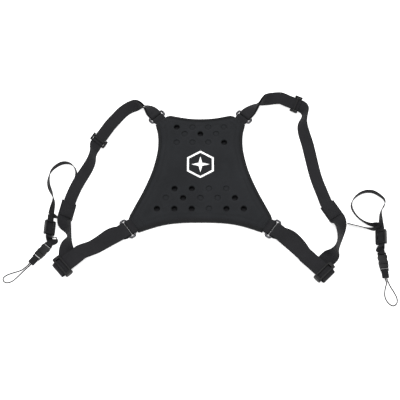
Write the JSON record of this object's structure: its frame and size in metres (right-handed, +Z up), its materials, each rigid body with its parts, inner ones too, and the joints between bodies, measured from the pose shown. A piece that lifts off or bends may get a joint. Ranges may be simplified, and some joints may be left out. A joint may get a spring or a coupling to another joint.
{
  "type": "binocular chest harness",
  "caption": "Chest harness: perforated back pad with arm-loop webbing straps, sliders, corner rings and tethers ending in small buckles and cord loops.",
  "frame": {"origin": "middle of the pad's flat underside, on the surface the harness lies on", "axes": "+Z up out of the pad's face, +Y towards the neck edge of the pad, +X across the pad towards the strap whose shoulder run is almost straight"},
  "size_m": [0.6022, 0.3752, 0.0248],
  "materials": {
    "webbing": "ribbed black polyester webbing",
    "tab_webbing": "ribbed black webbing, sewn down",
    "tether_tape": "narrow ribbed tape",
    "cord": "thin braided cord",
    "pad_face": "matt knitted fabric over foam",
    "pad_foam": "open-cell foam seen inside the vent holes",
    "pad_lining": "matt knitted lining",
    "pad_binding": "folded grosgrain binding",
    "emblem": "white transfer print, slightly satin",
    "hardware_plastic": "moulded black acetal, satin",
    "ring_metal": "black plated steel wire, satin"
  },
  "bodies": {
    "harness": {"pad_lining": "pad_lining", "pad_foam": "pad_foam", "pad_face": "pad_face", "pad_binding_bottom": "pad_binding", "pad_binding_right": "pad_binding", "pad_binding_top": "pad_binding", "pad_binding_left": "pad_binding", "emblem_outline": "emblem", "emblem_star": "emblem", "left_upper_tab": "tab_webbing", "left_lower_tab": "tab_webbing", "left_shoulder_strap": "webbing", "left_side_strap": "webbing", "left_tether_tape": "tether_tape", "right_upper_tab": "tab_webbing", "right_lower_tab": "tab_webbing", "right_shoulder_strap": "webbing", "right_side_strap": "webbing", "right_tether_tape": "tether_tape"},
    "left_upper_ring": {"left_upper_ring": "ring_metal"},
    "right_upper_ring": {"right_upper_ring": "ring_metal"},
    "left_lower_ring": {"left_lower_ring": "ring_metal"},
    "right_lower_ring": {"right_lower_ring": "ring_metal"},
    "left_shoulder_slider": {"left_shoulder_slider": "hardware_plastic"},
    "right_shoulder_slider": {"right_shoulder_slider": "hardware_plastic"},
    "left_side_slider": {"left_side_slider": "hardware_plastic"},
    "right_side_slider": {"right_side_slider": "hardware_plastic"},
    "left_tether_slider": {"left_tether_slider": "hardware_plastic"},
    "right_tether_slider": {"right_tether_slider": "hardware_plastic"},
    "left_buckle_socket": {"left_buckle_socket": "hardware_plastic"},
    "left_buckle_plug": {"left_buckle_plug": "hardware_plastic", "left_cord_tab": "tether_tape", "left_cord_loop": "cord"},
    "right_buckle_socket": {"right_buckle_socket": "hardware_plastic"},
    "right_buckle_plug": {"right_buckle_plug": "hardware_plastic", "right_cord_tab": "tether_tape", "right_cord_loop": "cord"}
  },
  "joints": [
    {"name": "left_upper_ring_tilt", "type": "hinge", "parent": "harness", "child": "left_upper_ring", "pos_m": [-0.0698, 0.09719, 0.0046], "axis": [-0.7513, -0.66, 0], "range_deg": [-4.5, 4.5]},
    {"name": "right_upper_ring_tilt", "type": "hinge", "parent": "harness", "child": "right_upper_ring", "pos_m": [0.0698, 0.09719, 0.0046], "axis": [-0.7513, 0.66, 0], "range_deg": [-4.5, 4.5]},
    {"name": "left_lower_ring_tilt", "type": "hinge", "parent": "harness", "child": "left_lower_ring", "pos_m": [-0.11042, -0.10174, 0.0046], "axis": [0.5821, -0.8131, 0], "range_deg": [-4.5, 4.5]},
    {"name": "right_lower_ring_tilt", "type": "hinge", "parent": "harness", "child": "right_lower_ring", "pos_m": [0.11042, -0.10174, 0.0046], "axis": [0.5821, 0.8131, 0], "range_deg": [-4.5, 4.5]},
    {"name": "left_shoulder_slider_travel", "type": "slide", "parent": "harness", "child": "left_shoulder_slider", "axis": [0.5105, 0.8599, 0], "range_m": [0, 0.022]},
    {"name": "right_shoulder_slider_travel", "type": "slide", "parent": "harness", "child": "right_shoulder_slider", "axis": [-0.9063, 0.4226, 0], "range_m": [0, 0.02]},
    {"name": "left_side_slider_travel", "type": "slide", "parent": "harness", "child": "left_side_slider", "axis": [0.7547, 0.6561, 0], "range_m": [0, 0.011]},
    {"name": "right_side_slider_travel", "type": "slide", "parent": "harness", "child": "right_side_slider", "axis": [-0.7022, 0.712, 0], "range_m": [0, 0.007]},
    {"name": "left_tether_slider_travel", "type": "slide", "parent": "harness", "child": "left_tether_slider", "axis": [0.0175, 0.9998, 0], "range_m": [0, 0.006]},
    {"name": "right_tether_slider_travel", "type": "slide", "parent": "harness", "child": "right_tether_slider", "axis": [0.0698, 0.9976, 0], "range_m": [0, 0.001]},
    {"name": "left_buckle_swing", "type": "hinge", "parent": "harness", "child": "left_buckle_socket", "pos_m": [-0.2365, -0.131, 0.0031], "axis": [-0.7716, 0.6361, 0], "range_deg": [0, 35]},
    {"name": "left_plug_release", "type": "slide", "parent": "left_buckle_socket", "child": "left_buckle_plug", "axis": [-0.6361, -0.7716, 0], "range_m": [0, 0.014]},
    {"name": "right_buckle_swing", "type": "hinge", "parent": "harness", "child": "right_buckle_socket", "pos_m": [0.281, -0.1455, 0.0031], "axis": [-0.9976, -0.0698, 0], "range_deg": [0, 35]},
    {"name": "right_plug_release", "type": "slide", "parent": "right_buckle_socket", "child": "right_buckle_plug", "axis": [0.0698, -0.9976, 0], "range_m": [0, 0.014]}
  ]
}
